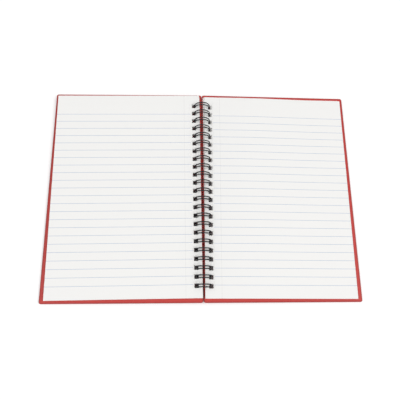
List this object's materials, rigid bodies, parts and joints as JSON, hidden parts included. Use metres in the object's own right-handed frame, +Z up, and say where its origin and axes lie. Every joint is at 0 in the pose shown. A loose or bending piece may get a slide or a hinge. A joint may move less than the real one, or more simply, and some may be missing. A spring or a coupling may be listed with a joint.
{
  "type": "wire-bound notebook",
  "caption": "Hardback notebook lying open, with ruled leaves and two boards held by a twin-loop wire binding.",
  "frame": {"origin": "centre of the open book's footprint, on the table under the binding", "axes": "+X across the open book to the right, +Y to the head of the pages, +Z up from the table"},
  "size_m": [0.308, 0.2172, 0.0165],
  "materials": {
    "cover": "satin",
    "leaves": "matte",
    "wire": "satin"
  },
  "bodies": {
    "back_half": {"back_cover": "cover", "unread_leaves": "leaves", "wire_binding": "wire"},
    "front_half": {"front_cover": "cover"},
    "turned_part": {"turned_leaves": "leaves"}
  },
  "joints": [
    {"name": "cover_hinge", "type": "hinge", "parent": "back_half", "child": "front_half", "pos_m": [0, 0, 0.00825], "axis": [0, 1, 0], "range_deg": [0, 180]},
    {"name": "leaf_hinge", "type": "hinge", "parent": "back_half", "child": "turned_part", "pos_m": [0, 0, 0.00825], "axis": [0, 1, 0], "range_deg": [0, 180]}
  ],
  "couplings": [
    {"joint": "leaf_hinge", "follows": "cover_hinge", "ratio": 1}
  ]
}
